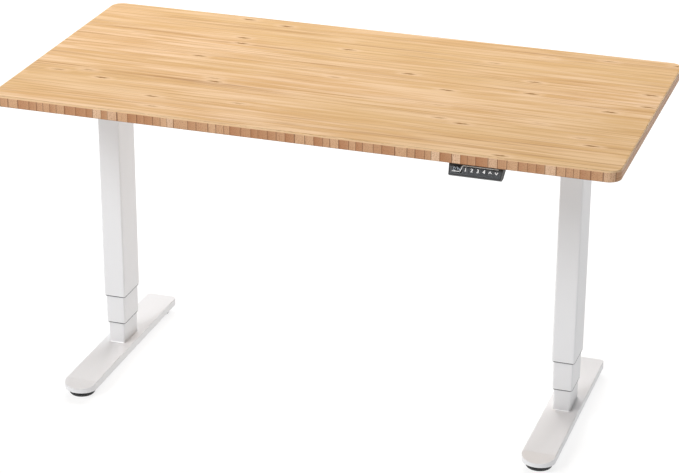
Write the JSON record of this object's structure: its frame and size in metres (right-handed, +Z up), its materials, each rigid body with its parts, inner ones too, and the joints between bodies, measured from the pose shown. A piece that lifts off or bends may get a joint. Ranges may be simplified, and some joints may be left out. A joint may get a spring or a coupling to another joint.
{
  "type": "height adjustable standing desk",
  "caption": "Electric sit-stand desk: laminated bamboo top on twin three-stage telescoping columns with flat steel feet, and a keypad under the front edge.",
  "frame": {"origin": "centre of the bounding box's base, on the floor", "axes": "+X along the desktop's long side, to the user's right; +Y away from the user; +Z up"},
  "size_m": [1.4, 0.7, 0.74],
  "materials": {
    "bamboo": "clear satin lacquer over bamboo strips",
    "white_powder_coat": "fine satin powder coat",
    "black_plastic": "fine moulded grain",
    "charcoal_plastic": "satin panel",
    "smoked_window": "dark gloss",
    "motor_case": "black enamel",
    "steel": "bright, oiled",
    "brass": "machined",
    "casting": "as cast",
    "nylon": "moulded, dark grey",
    "circuit_board": "solder mask",
    "rubber": "matt moulded"
  },
  "bodies": {
    "left_base": {"left_foot": "white_powder_coat", "left_lower_tube": "white_powder_coat", "left_lower_nut": "brass"},
    "left_middle": {"left_middle_tube": "white_powder_coat", "left_upper_nut": "brass", "left_middle_liner": "nylon"},
    "left_upper_drive": {"left_upper_screw": "steel", "left_worm_wheel": "brass"},
    "left_lower_drive": {"left_lower_screw": "steel"},
    "left_worm_drive": {"left_worm_shaft": "steel"},
    "front_left_foot_glide": {"front_left_glide": "rubber"},
    "rear_left_foot_glide": {"rear_left_glide": "rubber"},
    "right_base": {"right_foot": "white_powder_coat", "right_lower_tube": "white_powder_coat", "right_lower_nut": "brass"},
    "right_middle": {"right_middle_tube": "white_powder_coat", "right_upper_nut": "brass", "right_middle_liner": "nylon"},
    "right_upper_drive": {"right_upper_screw": "steel", "right_worm_wheel": "brass"},
    "right_lower_drive": {"right_lower_screw": "steel"},
    "right_worm_drive": {"right_worm_shaft": "steel"},
    "front_right_foot_glide": {"front_right_glide": "rubber"},
    "rear_right_foot_glide": {"rear_right_glide": "rubber"},
    "lift_frame": {"desktop": "bamboo", "front_rail_outer": "white_powder_coat", "front_rail_inner": "white_powder_coat", "rear_rail_outer": "white_powder_coat", "rear_rail_inner": "white_powder_coat", "control_box_base": "black_plastic", "control_box_cover": "black_plastic", "control_board": "circuit_board", "mains_inlet": "black_plastic", "keypad_housing": "black_plastic", "keypad_faceplate": "charcoal_plastic", "keypad_display": "smoked_window", "keypad_board": "circuit_board", "keypad_lead": "black_plastic", "left_side_bracket": "white_powder_coat", "left_column_head": "white_powder_coat", "left_gear_housing": "casting", "left_gear_cover": "casting", "left_motor": "motor_case", "left_outer_tube": "white_powder_coat", "left_outer_liner": "nylon", "left_motor_lead": "black_plastic", "right_side_bracket": "white_powder_coat", "right_column_head": "white_powder_coat", "right_gear_housing": "casting", "right_gear_cover": "casting", "right_motor": "motor_case", "right_outer_tube": "white_powder_coat", "right_outer_liner": "nylon", "right_motor_lead": "black_plastic"},
    "key_1_cap": {"key_1": "charcoal_plastic"},
    "key_2_cap": {"key_2": "charcoal_plastic"},
    "key_3_cap": {"key_3": "charcoal_plastic"},
    "key_4_cap": {"key_4": "charcoal_plastic"},
    "key_up_cap": {"key_up": "charcoal_plastic"},
    "key_down_cap": {"key_down": "charcoal_plastic"}
  },
  "joints": [
    {"name": "left_lower_lift", "type": "slide", "parent": "left_base", "child": "left_middle", "axis": [0, 0, 1], "range_m": [-0.05, 0.27]},
    {"name": "left_upper_lift", "type": "slide", "parent": "left_middle", "child": "lift_frame", "axis": [0, 0, 1], "range_m": [-0.05, 0.27]},
    {"name": "right_upper_lift", "type": "slide", "parent": "lift_frame", "child": "right_middle", "axis": [0, 0, -1], "range_m": [-0.05, 0.27]},
    {"name": "right_lower_lift", "type": "slide", "parent": "right_middle", "child": "right_base", "axis": [0, 0, -1], "range_m": [-0.05, 0.27]},
    {"name": "left_upper_screw_turn", "type": "hinge", "parent": "lift_frame", "child": "left_upper_drive", "pos_m": [-0.5435, -0.026, 0.69], "axis": [0, 0, 1], "range_deg": [-1126, 6076]},
    {"name": "left_lower_screw_turn", "type": "hinge", "parent": "left_middle", "child": "left_lower_drive", "pos_m": [-0.5435, -0.026, 0.5], "axis": [0, 0, 1], "range_deg": [-1126, 6076]},
    {"name": "left_motor_turn", "type": "hinge", "parent": "lift_frame", "child": "left_worm_drive", "pos_m": [-0.5435, 0, 0.69], "axis": [1, 0, 0], "range_deg": [-13501, 72901]},
    {"name": "front_left_glide_level", "type": "slide", "parent": "left_base", "child": "front_left_foot_glide", "axis": [0, 0, -1], "range_m": [0, 0.01]},
    {"name": "rear_left_glide_level", "type": "slide", "parent": "left_base", "child": "rear_left_foot_glide", "axis": [0, 0, -1], "range_m": [0, 0.01]},
    {"name": "right_upper_screw_turn", "type": "hinge", "parent": "lift_frame", "child": "right_upper_drive", "pos_m": [0.5435, -0.026, 0.69], "axis": [0, 0, 1], "range_deg": [-1126, 6076]},
    {"name": "right_lower_screw_turn", "type": "hinge", "parent": "right_middle", "child": "right_lower_drive", "pos_m": [0.5435, -0.026, 0.5], "axis": [0, 0, 1], "range_deg": [-1126, 6076]},
    {"name": "right_motor_turn", "type": "hinge", "parent": "lift_frame", "child": "right_worm_drive", "pos_m": [0.5435, 0, 0.69], "axis": [1, 0, 0], "range_deg": [-13501, 72901]},
    {"name": "front_right_glide_level", "type": "slide", "parent": "right_base", "child": "front_right_foot_glide", "axis": [0, 0, -1], "range_m": [0, 0.01]},
    {"name": "rear_right_glide_level", "type": "slide", "parent": "right_base", "child": "rear_right_foot_glide", "axis": [0, 0, -1], "range_m": [0, 0.01]},
    {"name": "key_1_press", "type": "slide", "parent": "lift_frame", "child": "key_1_cap", "axis": [0, 0.8408, -0.5413], "range_m": [0, 0.0008], "stiffness_N_per_m": 600, "springref_m": -0.0008},
    {"name": "key_2_press", "type": "slide", "parent": "lift_frame", "child": "key_2_cap", "axis": [0, 0.8408, -0.5413], "range_m": [0, 0.0008], "stiffness_N_per_m": 600, "springref_m": -0.0008},
    {"name": "key_3_press", "type": "slide", "parent": "lift_frame", "child": "key_3_cap", "axis": [0, 0.8408, -0.5413], "range_m": [0, 0.0008], "stiffness_N_per_m": 600, "springref_m": -0.0008},
    {"name": "key_4_press", "type": "slide", "parent": "lift_frame", "child": "key_4_cap", "axis": [0, 0.8408, -0.5413], "range_m": [0, 0.0008], "stiffness_N_per_m": 600, "springref_m": -0.0008},
    {"name": "key_up_press", "type": "slide", "parent": "lift_frame", "child": "key_up_cap", "axis": [0, 0.8408, -0.5413], "range_m": [0, 0.0008], "stiffness_N_per_m": 600, "springref_m": -0.0008},
    {"name": "key_down_press", "type": "slide", "parent": "lift_frame", "child": "key_down_cap", "axis": [0, 0.8408, -0.5413], "range_m": [0, 0.0008], "stiffness_N_per_m": 600, "springref_m": -0.0008}
  ],
  "couplings": [
    {"joint": "left_upper_lift", "follows": "left_lower_lift", "ratio": 1},
    {"joint": "right_upper_lift", "follows": "left_lower_lift", "ratio": 1},
    {"joint": "right_lower_lift", "follows": "left_lower_lift", "ratio": 1},
    {"joint": "left_upper_screw_turn", "follows": "left_lower_lift", "rad_per_m": 392.7},
    {"joint": "left_lower_screw_turn", "follows": "left_lower_lift", "rad_per_m": 392.7},
    {"joint": "left_motor_turn", "follows": "left_lower_lift", "rad_per_m": 4712.4},
    {"joint": "right_upper_screw_turn", "follows": "left_lower_lift", "rad_per_m": 392.7},
    {"joint": "right_lower_screw_turn", "follows": "left_lower_lift", "rad_per_m": 392.7},
    {"joint": "right_motor_turn", "follows": "left_lower_lift", "rad_per_m": 4712.4}
  ]
}
